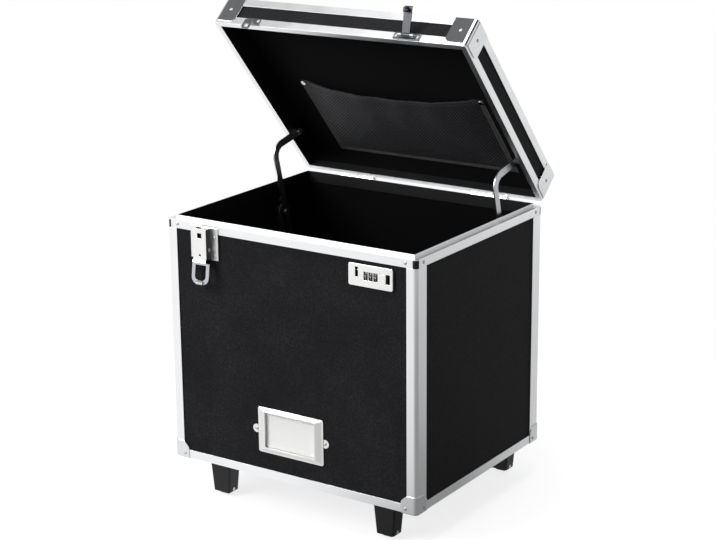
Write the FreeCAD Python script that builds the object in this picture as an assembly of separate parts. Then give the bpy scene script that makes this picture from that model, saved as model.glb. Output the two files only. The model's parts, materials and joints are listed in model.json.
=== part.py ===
import FreeCAD, Part
import math
import os

# A rolling file case, in millimetres. X runs from its left to its right, Y from front to rear and Z up.
# The origin is on the floor under the middle of the body. The lid stands open, as it is shown.
V = FreeCAD.Vector
os.makedirs("parts", exist_ok=True)

# Overall
body_w = 400.0
body_d = 328.0
body_h = 345.0
lid_h = 45.0
ride_h = 55.0
lid_open = 49.0
lid_gap = 0.4

# Walls and frame
skin_t = 1.5
panel_t = 7.0
lid_panel_t = 5.0
corner_r = 5.2
flange = 12.0
tongue_h = 4.0
post_front = 15.5
post_side = 24.0
plug_leg = 6.0
cap_t = 1.2
cap_edge_r = 2.4
base_cap_leg = 24.0
base_cap_lobe = 1.22
lid_cap_leg = 33.0
lid_cap_lobe = 1.5
lid_cap_lift = 4.0

# Rivets
rivet_r = 1.6
rivet_head_r = 2.5
rivet_head_h = 1.1
rivet_bite = 4.0
rivet_in = 17.0

# Rear hinges
hinge_side = 88.0
hinge_w = 60.0
hinge_leaf_t = 1.5
hinge_out = 6.0
knuckle_r = 3.6
hinge_pin_r = 1.75
knuckle_count = 5
side_gap = 0.4
turn_fit = 0.05

# Lid stays
stay_t = 2.0
stay_w = 11.0
stay_in = 16.5
stay_bend_r = 18.0
stay_ratio = -0.41
stay_back = 78.0
stay_pivot_up = 10.5
stay_pin_down = 43.0
stay_bend_back = 104.0
stay_bend_up = 57.0
stud_r = 3.0
stud_head_r = 5.0
stud_head_t = 1.5
stay_gap = 0.4
stay_pin_r = 2.5
stay_pin_head_r = 4.5
guide_depth = 4.8
guide_margin = 13.0
guide_ear_r = 6.5
slot_fit = 0.5

# Latch on the left
latch_side = 64.0
latch_base_w = 46.0
latch_base_lo = 48.0
latch_base_hi = 3.5
latch_cover_w = 22.0
latch_cover_out = 12.0
latch_cover_lo = 44.0
latch_cover_hi = 4.0
latch_flare = 3.0
latch_flare_h = 6.0
latch_sheet = 1.2
latch_window = 7.0
latch_window_down = 13.5
latch_hole_r = 1.6
latch_hole_down = 40.5
latch_pivot_out = 6.4
latch_pivot_down = 33.0
latch_pin_r = 1.5
latch_turn = 8.0
lever_hub_r = 3.2
lever_t = 2.4
lever_w = 29.0
lever_end = 81.5
lever_loop_top = 52.0
lever_bar = 5.5
lever_round = 10.0
lever_hole_r = 6.0
tail_w = 13.0
tail_t = 1.8
tail_out = 6.0
tooth_w = 5.2
tooth_h = 4.0
tooth_out = 10.2
catch_z = 7.0
catch_w = 13.0
catch_plate_w = 24.0
catch_out = 8.2
catch_t = 1.6
catch_reach = 12.5

# Lock on the right
lock_side = 68.0
lock_down = 31.5
lock_w = 68.0
lock_h = 30.0
lock_out = 2.5
lock_corner_r = 3.0
lock_edge_r = 1.0
lock_wall = 1.2
lock_front = 1.5
lock_inset = 1.6
lock_back = 12.5
lock_seat = 0.15
dial_r = 7.0
dial_w = 5.6
dial_pitch = 7.5
dial_in = 3.6
dial_window_h = 11.2
dial_side = 0.3
axle_r = 1.5
button_w = 9.0
button_h = 12.0
button_out = 1.5
button_travel = 5.0
button_gap = 0.3
button_lip = 1.5
button_at = 15.0
bolt_t = 0.8
bolt_r = 1.4
bolt_tab = 1.2
bolt_reach = 3.1
dial_at = -7.0

# Hasp
hasp_from_lock = 21.0
hasp_base_w = 40.0
hasp_w = 12.0
hasp_len = 37.0
hasp_t = 2.0
hasp_out = 4.2
hasp_up = 6.4
hasp_knuckle_r = 2.7
hasp_knuckle_w = 6.0
hasp_pin_r = 1.3
hasp_raised = 140.0
hasp_tip = 3.0
staple_t = 3.4
staple_in = 9.0
staple_up = 9.0
staple_h = 6.5
staple_hole_r = 1.9
slot_side = 0.5
slot_end = 1.5
slot_low = 5.0

# Label holder
label_x = 0.0
label_up = 69.3
label_w = 107.0
label_h = 65.0
label_t = 5.4
label_edge_t = 1.6
label_side = 13.0
label_head = 6.0
label_foot = 9.0
label_land = 1.5
label_corner_r = 3.0
label_hold = 3.0
label_pocket_t = 1.0
label_ear_r = 6.0
label_ear_out = 3.0
card_t = 0.6
card_side = 0.3

# Feet
foot_front_side = 63.0
foot_front_in = 31.0
foot_rear_side = 50.0
foot_rear_in = 15.0
foot_top_w = 35.0
foot_top_d = 26.0
foot_bottom_w = 27.0
foot_bottom_d = 21.5
foot_clear = 5.0
roller_r = 8.2
roller_w = 14.0
roller_side = 0.6
roller_room = 0.9
roller_edge_r = 1.4
foot_axle_r = 2.5
foot_screw_r = 2.0
foot_screw_head_r = 4.0
foot_screw_head_h = 2.2
foot_screw_bite = 9.0
foot_screw_x = 11.0

# Net pocket
pocket_w = 284.0
pocket_mouth = -5.0
pocket_rear = 19.0
pocket_sag = 16.0
pocket_t = 1.0
hem_w = 9.0
hem_t = 0.8
stud_in = 5.0
press_stud_r = 4.2
press_stud_h = 1.6

# Places that follow from these
half_w = body_w / 2
half_d = body_d / 2
z_base = ride_h
z_rim = ride_h + body_h
z_lid = z_rim + lid_gap
z_top = z_rim + lid_h
y_front = -half_d
y_panel = y_front + skin_t
rim_t = panel_t + 2 * skin_t
lid_rim_t = lid_panel_t + 2 * skin_t
hinge_x = half_w - hinge_side
latch_x = latch_side - half_w
lock_x = half_w - lock_side
hasp_x = lock_x - hasp_from_lock
foot_front_x = half_w - foot_front_side
foot_rear_x = half_w - foot_rear_side
pocket_end = half_d - pocket_rear
hinge_y = half_d + hinge_out
hinge_z = z_rim + lid_gap / 2
lock_z = z_rim - lock_down
staple_low = lock_z + staple_up - staple_h
latch_y = y_front - latch_pivot_out
latch_z = z_rim - latch_pivot_down
hasp_y = y_front - hasp_out
hasp_z = z_rim + hasp_up
label_z = z_base + label_up
lining_z = z_top - 2 * skin_t - lid_panel_t
X = V(1, 0, 0)
Y = V(0, 1, 0)
Z = V(0, 0, 1)


def box(x0, x1, y0, y1, z0, z1):
    return Part.makeBox(x1 - x0, y1 - y0, z1 - z0, V(x0, y0, z0))


def prism(points, way):
    """A closed outline of 3-D points, pulled along a vector."""
    corners = [V(*p) for p in points]
    return Part.Face(Part.makePolygon(corners + corners[:1])).extrude(V(*way))


def side_prism(outline, x0, x1):
    """An outline of (y, z) points, pulled from x0 to x1."""
    return prism([(x0, y, z) for y, z in outline], (x1 - x0, 0, 0))


def rod(x0, x1, y, z, r):
    return Part.makeCylinder(r, x1 - x0, V(x0, y, z), X)


def turned_rod(steps, y, z):
    """A stepped round piece along X, given as (x0, x1, radius)."""
    shape = None
    for x0, x1, r in steps:
        piece = rod(min(x0, x1), max(x0, x1), y, z, r)
        shape = piece if shape is None else shape.fuse(piece)
    return shape.removeSplitter().Solids[0]


def along(shape, axis):
    """The straight edges that run along an axis."""
    edges = [e for e in shape.Edges if isinstance(e.Curve, Part.Line)]
    return [e for e in edges if abs(e.tangentAt(e.FirstParameter).dot(axis)) > 0.99]


def block(w, d, z0, z1, r):
    """A block about the Z axis with its upright edges rounded."""
    b = box(-w / 2, w / 2, -d / 2, d / 2, z0, z1)
    return b.makeFillet(r, along(b, Z))


def one(shape):
    return shape.removeSplitter().Solids[0]


def mirrored(shape):
    return shape.mirror(V(0, 0, 0), X)


def corners(make):
    """The same piece at all four corners, from one made for the front left one."""
    left = make()
    right = mirrored(left)
    return [left, right, left.mirror(V(0, 0, 0), Y), right.mirror(V(0, 0, 0), Y)]


def turned(p, angle, centre):
    """A (y, z) point turned about another one, in degrees about +X."""
    a = math.radians(angle)
    y = p[0] - centre[0]
    z = p[1] - centre[1]
    return (centre[0] + y * math.cos(a) - z * math.sin(a), centre[1] + y * math.sin(a) + z * math.cos(a))


def opened(shape):
    """A lid piece, made as shut, swung open."""
    shape = shape.copy()
    shape.rotate(V(0, hinge_y, hinge_z), X, -lid_open)
    return shape


def mitred_frame(section, w, d, r):
    """Four mitred bars. The section is drawn as (in from the outer face, height)."""
    low = min(z for u, z in section)
    high = max(z for u, z in section)
    hull = block(w, d, low, high, r)
    bars = []
    for turn, run, half in ((0, w, d / 2), (90, d, w / 2), (180, w, d / 2), (270, d, w / 2)):
        bar = prism([(-run / 2, u - half, z) for u, z in section], (run, 0, 0))
        ends = [(-run / 2, -half, low), (run / 2, -half, low), (0, run / 2 - half, low)]
        bar = bar.common(prism(ends, (0, 0, high - low)))
        bar.rotate(V(0, 0, 0), Z, turn)
        bars.append(bar.common(hull).Solids[0])
    return bars


def rivet(place):
    """A rivet: its tapered head sits at a point, its shank runs in against the outward normal."""
    p, n, grip = place
    head = Part.makeCone(rivet_head_r, rivet_r, rivet_head_h)
    shape = one(head.fuse(Part.makeCylinder(rivet_r, grip, V(0, 0, -grip), Z)))
    shape.Placement = FreeCAD.Placement(V(*p), FreeCAD.Rotation(Z, V(*n)))
    return shape


def shank(place):
    p, n, grip = place
    return Part.makeCylinder(rivet_r, grip, V(*p), -V(*n))


def drilled(shape, tools):
    near = [t for t in tools if t.BoundBox.intersect(shape.BoundBox)]
    return shape.cut(near).Solids[0] if near else shape


def front_back(make):
    """A place on the front and its twin on the rear, as (point, normal, grip)."""
    p, n, grip = make
    return [make, ((p[0], -p[1], p[2]), (n[0], -n[1], n[2]), grip)]


def both_sides(places):
    return places + [((-p[0], p[1], p[2]), (-n[0], n[1], n[2]), grip) for p, n, grip in places]


# Where the rivets go
rim_grip = skin_t + rivet_bite
cap_grip = cap_t + skin_t + rivet_bite
leaf_grip = hinge_leaf_t + skin_t + rivet_bite


def corner_rivets(z, out, grip):
    front = front_back(((half_w - rivet_in, y_front - out, z), (0, -1, 0), grip))
    side = front_back(((half_w + out, rivet_in - half_d, z), (1, 0, 0), grip))
    return both_sides(front + side)


def hinge_rivets(z):
    y = half_d + hinge_leaf_t
    return both_sides([((hinge_x + s * hinge_w / 3, y, z), (0, 1, 0), leaf_grip) for s in (-1, 1)])


# The stay's pin: its path as the lid shuts, and the arc through it
stay_pivot_shut = (half_d - stay_back, z_rim + stay_pivot_up)
stay_pin_rest = (half_d - stay_back, z_rim - stay_pin_down)
stay_pivot_rest = turned(stay_pivot_shut, -lid_open, (hinge_y, hinge_z))


def stay_pin_at(shutting):
    pivot = turned(stay_pivot_shut, shutting - lid_open, (hinge_y, hinge_z))
    arm = (stay_pin_rest[0] - stay_pivot_rest[0], stay_pin_rest[1] - stay_pivot_rest[1])
    arm = turned(arm, (1 + stay_ratio) * shutting, (0, 0))
    return (pivot[0] + arm[0], pivot[1] + arm[1])


slot_ends = [stay_pin_at(a) for a in (0, lid_open / 2, lid_open)]
slot_arc = Part.Wire(Part.Arc(*[V(0, y, z) for y, z in slot_ends]).toShape())
wall_x = half_w - rim_t
stay_x = half_w - stay_in
guide_x = wall_x - guide_depth
ear_reach = guide_margin + stay_pin_head_r
guide_ears = [(slot_ends[0][0], slot_ends[0][1] + ear_reach), (slot_ends[2][0], slot_ends[2][1] - ear_reach)]


def path_band(wire, reach, x0, x1):
    """A strip that follows a path in the YZ plane, rounded at both ends."""
    band = Part.Face(wire.makeOffset2D(reach, 0, False, False, False)).extrude(V(x1 - x0, 0, 0))
    band.translate(V(x0, 0, 0))
    return band


def bent_path(a, corner, b, r):
    """Two straight runs joined by an arc of radius r, in the YZ plane."""
    c = V(0, *corner)
    u = (V(0, *a) - c).normalize()
    w = (V(0, *b) - c).normalize()
    half = u.getAngle(w) / 2
    run = r / math.tan(half)
    middle = c + (u + w).normalize() * (r / math.sin(half) - r)
    bend = Part.Arc(c + u * run, middle, c + w * run).toShape()
    return Part.Wire([Part.makeLine(V(0, *a), c + u * run), bend, Part.makeLine(c + w * run, V(0, *b))])


guide_rivets = both_sides([((wall_x - skin_t, y, z), (-1, 0, 0), 2 * skin_t + rivet_bite) for y, z in guide_ears])
label_ear_x = label_w / 2 + label_ear_out
label_places = [((label_x + s * label_ear_x, y_panel - skin_t, label_z), (0, -1, 0), rim_grip) for s in (-1, 1)]
latch_rivet_x = (latch_base_w + latch_cover_w) / 4
latch_rivet_z = (z_rim - latch_base_lo + rivet_head_r * 2, z_rim - flange - rivet_head_r * 2)
latch_places = [((latch_x + s * latch_rivet_x, y_front - skin_t, z), (0, -1, 0), 2 * skin_t + rivet_bite)
                for s in (-1, 1) for z in latch_rivet_z]
hasp_rivet_x = (hasp_base_w + hasp_w + 2 * hasp_knuckle_w) / 4
hasp_places = [((hasp_x + s * hasp_rivet_x, y_front - skin_t, z_lid + flange / 2), (0, -1, 0), cap_grip)
               for s in (-1, 1)]
catch_places = [((latch_x + s * catch_plate_w * 0.36, y_front - skin_t, z_lid + flange * 0.6), (0, -1, 0), cap_grip)
                for s in (-1, 1)]
body_places = corner_rivets(z_rim - flange / 2, 0, rim_grip) + corner_rivets(z_base + flange / 2, cap_t, cap_grip)
body_places += hinge_rivets(z_rim - flange / 2) + guide_rivets + label_places + latch_places
lid_places = corner_rivets((z_lid + lid_cap_lift + z_top) / 2, cap_t, cap_grip)
lid_places += hinge_rivets(z_lid + flange / 2) + hasp_places + catch_places
body_holes = [shank(p) for p in body_places]
lid_holes = [shank(p) for p in lid_places]

# Where the feet stand, and their screws
feet = [(s * x, y) for x, y in ((foot_front_x, foot_front_in - half_d), (foot_rear_x, half_d - foot_rear_in))
        for s in (-1, 1)]
floor_top = z_base + 2 * skin_t + panel_t
screw_low = z_base - foot_screw_bite
screw_at = [(x + s * foot_screw_x, y) for x, y in feet for s in (-1, 1)]
screw_holes = [Part.makeCylinder(foot_screw_r, floor_top - screw_low, V(x, y, screw_low), Z) for x, y in screw_at]

# The room the lock takes in the front wall
lock_case_w = lock_w - 2 * lock_inset
lock_case_h = lock_h - 2 * lock_inset
lock_room = box(lock_x - lock_case_w / 2 - lock_seat, lock_x + lock_case_w / 2 + lock_seat,
                y_front, y_front + rim_t + skin_t,
                lock_z - lock_case_h / 2 - lock_seat, lock_z + lock_case_h / 2 + lock_seat)


def body_panels():
    low = z_base + skin_t
    high = z_rim - skin_t
    flat = half_d - skin_t - panel_t
    front = box(skin_t - half_w, half_w - skin_t, y_panel, y_panel + panel_t, low, high)
    edges = [e for e in along(front, Z) if e.Vertexes[0].Y < y_panel + skin_t]
    front = front.makeFillet(corner_r - skin_t, edges)
    back = front.mirror(V(0, 0, 0), Y)
    side = box(half_w - skin_t - panel_t, half_w - skin_t, -flat, flat, low, high)
    inner = half_w - skin_t - panel_t
    bottom = box(-inner, inner, -flat, flat, low, low + panel_t)
    return {
        "panel_front": drilled(front.cut(lock_room), body_holes),
        "panel_back": drilled(back, body_holes),
        "panel_right": drilled(side, body_holes),
        "panel_left": drilled(mirrored(side), body_holes),
        "panel_bottom": drilled(bottom, screw_holes),
    }


def body_lining():
    low = z_base + skin_t + panel_t
    high = z_rim - flange
    in_w = half_w - rim_t
    in_d = half_d - rim_t
    front = box(-in_w - skin_t, in_w + skin_t, -in_d - skin_t, -in_d, low, high)
    side = box(in_w, in_w + skin_t, -in_d, in_d, low, high)
    floor = box(-in_w, in_w, -in_d, in_d, low, low + skin_t)
    sheets = [front.cut(lock_room), front.mirror(V(0, 0, 0), Y), side, mirrored(side), floor]
    return Part.makeCompound([drilled(s, body_holes + screw_holes) for s in sheets])


def corner_angle(leg_x, leg_y, z0, z1):
    """A rounded angle that wraps the front left upright edge."""
    shell = block(body_w, body_d, z0, z1, corner_r)
    shell = shell.cut(block(body_w - 2 * skin_t, body_d - 2 * skin_t, z0, z1, corner_r - skin_t))
    return one(shell.common(box(-half_w, leg_x - half_w, -half_d, leg_y - half_d, z0, z1)))


def top_rim():
    t = skin_t
    lip = z_rim + tongue_h
    low = z_rim - flange
    section = [(0, low), (t, low), (t, z_rim - t), (rim_t - t, z_rim - t), (rim_t - t, low), (rim_t, low),
               (rim_t, lip), (rim_t - t, lip), (rim_t - t, z_rim), (0, z_rim)]
    bars = mitred_frame(section, body_w, body_d, corner_r)
    plugs = corners(lambda: corner_angle(plug_leg, plug_leg, low, z_rim - t))
    return Part.makeCompound([drilled(b.cut(plugs).Solids[0], body_holes) for b in bars]), Part.makeCompound(plugs)


def base_rim():
    t = skin_t
    section = [(0, z_base), (flange, z_base), (flange, z_base + t), (t, z_base + t), (t, z_base + flange),
               (0, z_base + flange)]
    return Part.makeCompound([drilled(b, body_holes) for b in mitred_frame(section, body_w, body_d, corner_r)])


def corner_cap(leg, reach, z0, z1, closed_end):
    """A pressed cap over one corner: two side faces and a closed end, with rounded lobes."""
    w = body_w + 2 * cap_t
    d = body_d + 2 * cap_t
    low = z0 - cap_t if closed_end == z0 else z0
    high = z1 + cap_t if closed_end == z1 else z1
    outer = block(w, d, low, high, corner_r + cap_t)
    end = low if closed_end == z0 else high
    rim = [e for e in outer.Edges if abs(e.BoundBox.ZMin - end) + abs(e.BoundBox.ZMax - end) < 0.01]
    shell = outer.makeFillet(cap_edge_r, rim).cut(block(body_w, body_d, z0, z1, corner_r))
    lobe = box(-half_w - cap_t, leg - half_w, -half_d - cap_t, leg - half_d, low, high)
    lobe = lobe.common(Part.makeSphere(leg * reach, V(-half_w, -half_d, end)))
    return one(shell.common(lobe))


def lid_panels():
    low = z_lid + skin_t
    high = z_top - skin_t
    t = lid_panel_t
    flat = half_d - skin_t - t
    front = box(skin_t - half_w, half_w - skin_t, y_panel, y_panel + t, low, high)
    edges = [e for e in along(front, Z) if e.Vertexes[0].Y < y_panel + skin_t]
    front = front.makeFillet(corner_r - skin_t, edges)
    side = box(half_w - skin_t - t, half_w - skin_t, -flat, flat, low, high)
    inner = half_w - skin_t - t
    return {
        "lid_panel_front": drilled(front, lid_holes),
        "lid_panel_back": drilled(front.mirror(V(0, 0, 0), Y), lid_holes),
        "lid_panel_right": drilled(side, lid_holes),
        "lid_panel_left": drilled(mirrored(side), lid_holes),
        "lid_panel_top": box(-inner, inner, -flat, flat, high - t, high),
    }


def lid_lining():
    in_w = half_w - lid_rim_t
    in_d = half_d - lid_rim_t
    low = z_lid + flange
    high = lining_z + skin_t
    front = box(-in_w - skin_t, in_w + skin_t, -in_d - skin_t, -in_d, low, high)
    side = box(in_w, in_w + skin_t, -in_d, in_d, low, high)
    top = box(-in_w, in_w, -in_d, in_d, lining_z, high)
    return Part.makeCompound([front, front.mirror(V(0, 0, 0), Y), side, mirrored(side), top])


def lid_rim():
    t = skin_t
    high = z_lid + flange
    section = [(0, z_lid), (lid_rim_t, z_lid), (lid_rim_t, high), (lid_rim_t - t, high), (lid_rim_t - t, z_lid + t),
               (t, z_lid + t), (t, high), (0, high)]
    return Part.makeCompound([drilled(b, lid_holes) for b in mitred_frame(section, body_w, body_d, corner_r)])


def lid_edge():
    t = skin_t
    low = z_top - flange
    section = [(0, low), (t, low), (t, z_top - t), (flange, z_top - t), (flange, z_top), (0, z_top)]
    return Part.makeCompound(mitred_frame(section, body_w, body_d, corner_r))


def hinge_leaf(on_lid):
    """One leaf of a butt hinge on the rear: a flat plate, webs and rolled knuckles."""
    share = hinge_w / knuckle_count
    sign = 1 if on_lid else -1
    x0 = hinge_x - hinge_w / 2
    z0, z1 = (z_lid, z_lid + flange) if on_lid else (z_rim - flange, z_rim)
    leaf = box(x0, x0 + hinge_w, half_d, half_d + hinge_leaf_t, z0, z1)
    for i in range(1 if on_lid else 0, knuckle_count, 2):
        a = x0 + i * share + side_gap / 2
        b = x0 + (i + 1) * share - side_gap / 2
        tangent = hinge_z + sign * knuckle_r
        inside = tangent - sign * hinge_leaf_t
        web = box(a, b, half_d, hinge_y, min(tangent, inside), max(tangent, inside))
        leaf = leaf.fuse([rod(a, b, hinge_y, hinge_z, knuckle_r), web])
    bore = hinge_pin_r + (turn_fit if on_lid else 0)
    leaf = leaf.cut(rod(x0, x0 + hinge_w, hinge_y, hinge_z, bore))
    return drilled(one(leaf), lid_holes if on_lid else body_holes)


def hinge_pin():
    x0 = hinge_x - hinge_w / 2
    x1 = hinge_x + hinge_w / 2
    head = hinge_pin_r * 1.5
    steps = [(x0 - skin_t, x0, head), (x0, x1, hinge_pin_r), (x1, x1 + skin_t, head)]
    return turned_rod(steps, hinge_y, hinge_z)


def stay(side):
    """A flat strip with one bend; it turns on the lid's stud and carries the guide pin."""
    bend = (half_d - stay_bend_back, z_rim + stay_bend_up)
    path = bent_path(stay_pivot_rest, bend, stay_pin_rest, stay_bend_r)
    strip = path_band(path, stay_w / 2, stay_x - stay_t, stay_x)
    strip = strip.cut(rod(stay_x - stay_t, stay_x, *stay_pivot_rest, stud_r + turn_fit))
    strip = strip.cut(rod(stay_x - stay_t, stay_x, *stay_pin_rest, stay_pin_r))
    return strip if side > 0 else mirrored(strip)


def stay_pin(side):
    inner = stay_x - stay_t
    face = guide_x + skin_t + stay_gap
    steps = [(inner - stud_head_t, inner, stay_pin_head_r), (inner, face, stay_pin_r),
             (face, face + stud_head_t, stay_pin_head_r)]
    pin = turned_rod(steps, *stay_pin_rest)
    return pin if side > 0 else mirrored(pin)


def stay_stud():
    """The shouldered stud on the lid that a stay turns on."""
    seat = half_w - lid_rim_t
    shoulder = stay_x + stay_gap
    inner = stay_x - stay_t - stay_gap
    steps = [(shoulder, seat, stud_head_r), (inner, shoulder, stud_r), (inner - stud_head_t, inner, stud_head_r)]
    return turned_rod(steps, *stay_pivot_shut)


def stay_guide():
    """A pressed dish on the wall; the pin runs in its curved slot with the head inside."""
    dish = path_band(slot_arc, guide_margin, guide_x, wall_x)
    for y, z in guide_ears:
        dish = dish.fuse(rod(wall_x - skin_t, wall_x, y, z, guide_ear_r))
    dish = dish.cut(path_band(slot_arc, guide_margin - skin_t, guide_x + skin_t, wall_x))
    dish = dish.cut(path_band(slot_arc, stay_pin_r + slot_fit, guide_x, wall_x))
    return drilled(one(dish), body_holes)


def latch_base():
    low = z_rim - latch_base_lo
    high = z_rim - latch_base_hi
    step = z_rim - flange
    out = y_front - skin_t
    outline = [(y_panel, low), (out, low), (out, high), (y_front, high), (y_front, step), (y_panel, step)]
    plate = side_prism(outline, latch_x - latch_base_w / 2, latch_x + latch_base_w / 2)
    return drilled(plate, body_holes)


def latch_cover():
    """A folded channel with a square window, a small round hole and a flared lower lip."""
    half = latch_cover_w / 2
    inner = half - latch_sheet
    seat = y_front - skin_t
    out = y_front - latch_cover_out
    face = out + latch_sheet
    low = z_rim - latch_cover_lo
    foot = low - latch_flare_h
    high = z_rim - latch_cover_hi
    front = [(out, high), (face, high), (face, low), (face - latch_flare, foot), (out - latch_flare, foot), (out, low)]
    cheek = [(seat, high), (face, high), (face, low), (face - latch_flare, foot), (seat, foot)]
    cover = side_prism(front, latch_x - half, latch_x + half)
    cover = cover.fuse([side_prism(cheek, latch_x - half, latch_x - inner),
                        side_prism(cheek, latch_x + inner, latch_x + half)])
    win = latch_window / 2
    mid = z_rim - latch_window_down
    cover = cover.cut(box(latch_x - win, latch_x + win, out, face, mid - win, mid + win))
    cover = cover.cut(Part.makeCylinder(latch_hole_r, latch_sheet, V(latch_x, out, z_rim - latch_hole_down), Y))
    return one(cover.cut(rod(latch_x - half, latch_x + half, latch_y, latch_z, latch_pin_r)))


def latch_pin():
    half = latch_cover_w / 2
    head = latch_pin_r * 1.6
    steps = [(latch_x - half - latch_sheet, latch_x - half, head), (latch_x - half, latch_x + half, latch_pin_r),
             (latch_x + half, latch_x + half + latch_sheet, head)]
    return turned_rod(steps, latch_y, latch_z)


def latch_lever():
    """A pull loop below the pivot and a toothed tail above it, made as locked and swung free."""
    hub_half = latch_cover_w / 2 - latch_sheet - 2 * side_gap
    back = latch_y + lever_t / 2
    front = latch_y - lever_t / 2
    loop_top = z_rim - lever_loop_top
    end = z_rim - lever_end
    half = lever_w / 2
    lever = rod(latch_x - hub_half, latch_x + hub_half, latch_y, latch_z, lever_hub_r)
    outline = [(-half, end), (half, end), (half, loop_top), (hub_half, loop_top), (hub_half, latch_z),
               (-hub_half, latch_z), (-hub_half, loop_top), (-half, loop_top)]
    loop = prism([(latch_x + x, front, z) for x, z in outline], (0, lever_t, 0))
    loop = loop.makeFillet(lever_round, [e for e in along(loop, Y) if e.BoundBox.ZMax < end + 1])
    hole_in = half - lever_bar
    hole = box(latch_x - hole_in, latch_x + hole_in, front, back, end + lever_bar, loop_top - lever_bar * 0.55)
    hole = hole.makeFillet(lever_hole_r, [e for e in along(hole, Y) if e.BoundBox.ZMax < end + lever_bar + 1])
    nub = [(front, end), (front, end + lever_bar), (front - lever_t, end + lever_bar / 2), (front - lever_t, end)]
    tail_y = y_front - tail_out
    tail_top = z_rim - catch_z + tooth_h / 2 + 0.5
    tail = box(latch_x - tail_w / 2, latch_x + tail_w / 2, tail_y - tail_t, tail_y, latch_z, tail_top)
    tooth = [(tail_y - tail_t, tail_top - 0.5), (tail_y - tail_t, tail_top - 0.5 - tooth_h),
             (y_front - tooth_out, tail_top - 0.5 - tooth_h), (y_front - tooth_out, tail_top - 1.5)]
    lever = lever.fuse([loop.cut(hole), side_prism(nub, latch_x - lever_bar, latch_x + lever_bar), tail,
                        side_prism(tooth, latch_x - tooth_w / 2, latch_x + tooth_w / 2)])
    lever = one(lever.cut(rod(latch_x - half, latch_x + half, latch_y, latch_z, latch_pin_r + turn_fit)))
    lever.rotate(V(0, latch_y, latch_z), X, -latch_turn)
    return lever


def latch_catch():
    """The catch on the lid: a riveted plate whose tongue reaches down into the latch."""
    low = z_lid + 0.8
    high = z_lid + flange - 0.4
    end = z_rim - catch_reach
    shelf = low + catch_t
    inner = y_front - catch_out
    outer = inner - catch_t
    plate = y_front - skin_t
    outline = [(y_front, high), (y_front, low), (inner, low), (inner, end), (outer, end), (outer, shelf),
               (plate, shelf), (plate, high)]
    tongue = side_prism(outline, latch_x - catch_w / 2, latch_x + catch_w / 2)
    tongue = tongue.makeFillet(catch_w * 0.3, [e for e in along(tongue, Y) if e.BoundBox.ZMax < end + 0.1])
    mid = z_rim - catch_z
    win_w = tooth_w / 2 + 0.8
    win_h = tooth_h / 2 + 1
    tongue = tongue.cut(box(latch_x - win_w, latch_x + win_w, outer, inner, mid - win_h, mid + win_h))
    wide = catch_plate_w / 2
    back = box(latch_x - wide, latch_x + wide, plate, y_front, low, high)
    back = back.makeFillet(skin_t, along(back, Y))
    return drilled(one(tongue.fuse(back)), lid_holes)


dial_y = y_front + dial_in
dial_xs = [lock_x + dial_at + i * dial_pitch for i in range(3)]
rib_xs = (dial_xs[0] - dial_w / 2 - dial_side - lock_wall, dial_xs[-1] + dial_w / 2 + dial_side)
button_x = lock_x + button_at + button_gap


def lock_plate():
    """A shallow dish with a hasp slot, three dial windows and the button window."""
    face = y_front - lock_out
    inside = face + lock_front
    w = lock_w / 2
    h = lock_h / 2
    plate = box(lock_x - w, lock_x + w, face, y_panel, lock_z - h, lock_z + h)
    plate = plate.makeFillet(lock_corner_r, along(plate, Y))
    plate = plate.makeFillet(lock_edge_r, [e for e in plate.Edges if e.BoundBox.YMax < face + 0.01])
    plate = plate.cut(box(lock_x - w + lock_wall, lock_x + w - lock_wall, inside, y_panel,
                          lock_z - h + lock_wall, lock_z + h - lock_wall))
    wide = staple_t / 2 + slot_side
    plate = plate.cut(box(hasp_x - wide, hasp_x + wide, face, inside,
                          staple_low - slot_low, lock_z + staple_up + slot_end))
    win = dial_w / 2 + dial_side
    for x in dial_xs:
        plate = plate.cut(box(x - win, x + win, face, inside, lock_z - dial_window_h / 2, lock_z + dial_window_h / 2))
    a = button_x - button_gap
    b = button_x + button_w + button_travel + button_gap
    high = button_h / 2 + button_gap
    return one(plate.cut(box(a, b, face, inside, lock_z - high, lock_z + high)))


def lock_case():
    """The open tray behind the wall, with two ribs that carry the dial axle."""
    w = lock_case_w / 2
    h = lock_case_h / 2
    back = y_front + lock_back
    tray = box(lock_x - w, lock_x + w, y_panel, back, lock_z - h, lock_z + h)
    tray = tray.cut(box(lock_x - w + lock_wall, lock_x + w - lock_wall, y_panel, back - lock_wall,
                        lock_z - h + lock_wall, lock_z + h - lock_wall))
    for x in rib_xs:
        tray = tray.fuse(box(x, x + lock_wall, y_panel, back, lock_z - h, lock_z + h))
    return one(tray.cut(rod(rib_xs[0], rib_xs[1] + lock_wall, dial_y, lock_z, axle_r)))


def lock_dial(x):
    wheel = rod(x - dial_w / 2, x + dial_w / 2, dial_y, lock_z, dial_r)
    wheel = wheel.makeChamfer(0.5, wheel.Edges)
    return wheel.cut(rod(x - dial_w / 2, x + dial_w / 2, dial_y, lock_z, axle_r + turn_fit))


def lock_button():
    """A slide: a ribbed thumb piece in the window and a lip behind it."""
    face = y_front - lock_out
    inside = face + lock_front
    half = button_h / 2
    lip_y = inside + button_gap
    thumb = box(button_x, button_x + button_w, face - button_out, lip_y + button_lip, lock_z - half, lock_z + half)
    thumb = thumb.makeFillet(0.8, [e for e in thumb.Edges if e.BoundBox.YMax < face - button_out + 0.1])
    lip = box(button_x - button_lip, button_x + button_w + button_lip, lip_y, lip_y + button_lip,
              lock_z - half - button_lip, lock_z + half + button_lip)
    return one(thumb.fuse(lip))


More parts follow.
